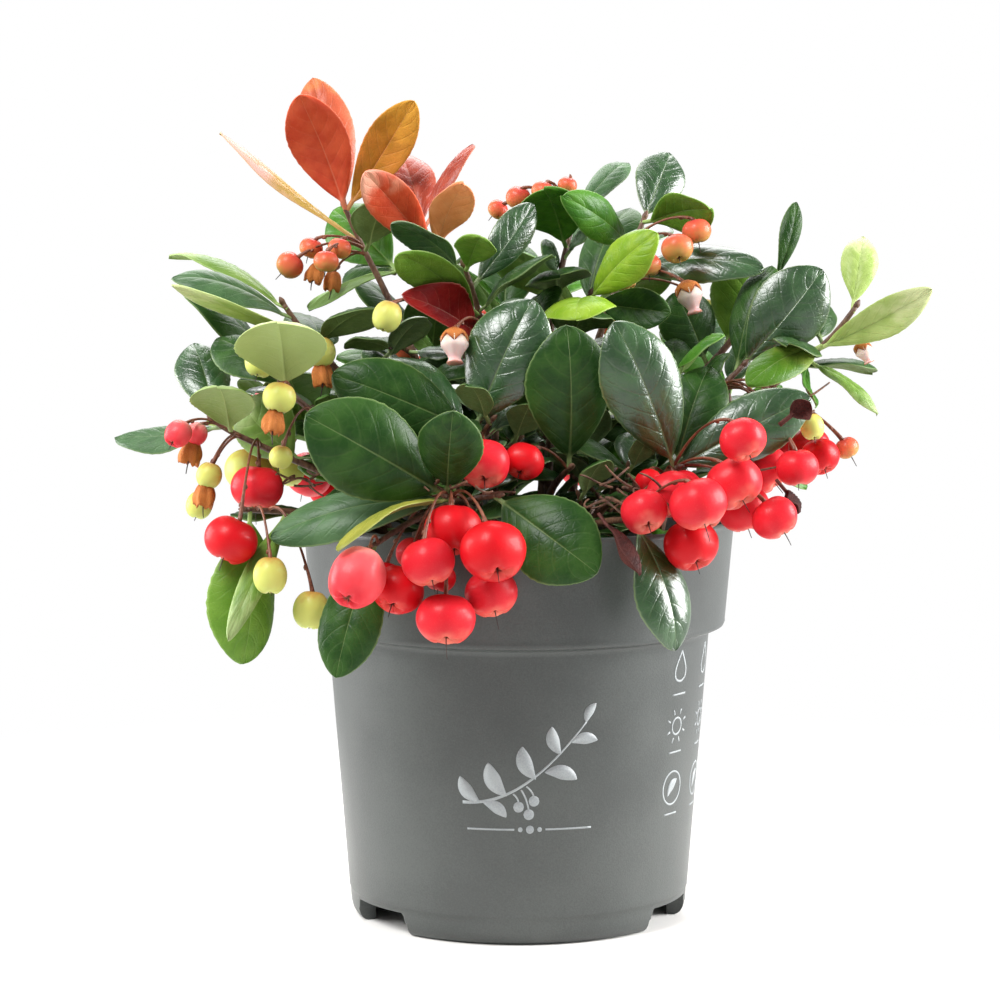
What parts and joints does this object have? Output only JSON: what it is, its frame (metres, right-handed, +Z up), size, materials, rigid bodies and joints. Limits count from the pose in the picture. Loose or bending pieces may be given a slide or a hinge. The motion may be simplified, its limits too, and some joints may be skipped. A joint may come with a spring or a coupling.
{
  "type": "potted wintergreen",
  "caption": "Low evergreen shrub with leathery oval leaves, some flushed red, and hanging bunches of round red berries, growing from dark compost in a round grey plastic nursery pot.",
  "frame": {"origin": "on the ground, under the middle of the pot and of the crown's box", "axes": "+Z up, the pictured side faces -Y, +X to its right"},
  "size_m": [0.1954, 0.1546, 0.203],
  "materials": {
    "pot": "matte",
    "print": "matte",
    "compost": "matte",
    "stem": "satin",
    "leaf": "satin",
    "red_leaf": "satin",
    "berry": "gloss"
  },
  "bodies": {
    "root": {"pot": "pot", "compost": "compost", "red_crown": "red_leaf", "red_centre": "red_leaf", "top_middle": "leaf", "top_back": "leaf", "top_right": "leaf", "lime_shoot": "leaf", "left_upper": "leaf", "left_middle": "leaf", "left_low": "leaf", "left_front": "leaf", "front_left": "leaf", "front_right": "leaf", "centre_left": "leaf", "centre": "leaf", "centre_right": "leaf", "right_middle": "leaf", "right_far": "leaf", "right_back": "leaf", "back_low_1": "leaf", "back_low_2": "leaf", "back_low_3": "leaf", "back_low_4": "leaf", "back_low_5": "leaf", "back_low_6": "leaf", "back_high_1": "leaf", "back_high_2": "leaf", "back_high_3": "leaf", "left_back_1": "leaf", "red_crown_stem": "stem", "red_centre_stem": "stem", "top_middle_stem": "stem", "top_back_stem": "stem", "top_right_stem": "stem", "lime_shoot_stem": "stem", "left_upper_stem": "stem", "left_middle_stem": "stem", "left_low_stem": "stem", "left_front_stem": "stem", "front_left_stem": "stem", "front_right_stem": "stem", "centre_left_stem": "stem", "centre_stem": "stem", "centre_right_stem": "stem", "right_middle_stem": "stem", "right_far_stem": "stem", "right_back_stem": "stem", "back_low_1_stem": "stem", "back_low_2_stem": "stem", "back_low_3_stem": "stem", "back_low_4_stem": "stem", "back_low_5_stem": "stem", "back_low_6_stem": "stem", "back_high_1_stem": "stem", "back_high_2_stem": "stem", "back_high_3_stem": "stem", "left_back_1_stem": "stem"}
  },
  "joints": []
}
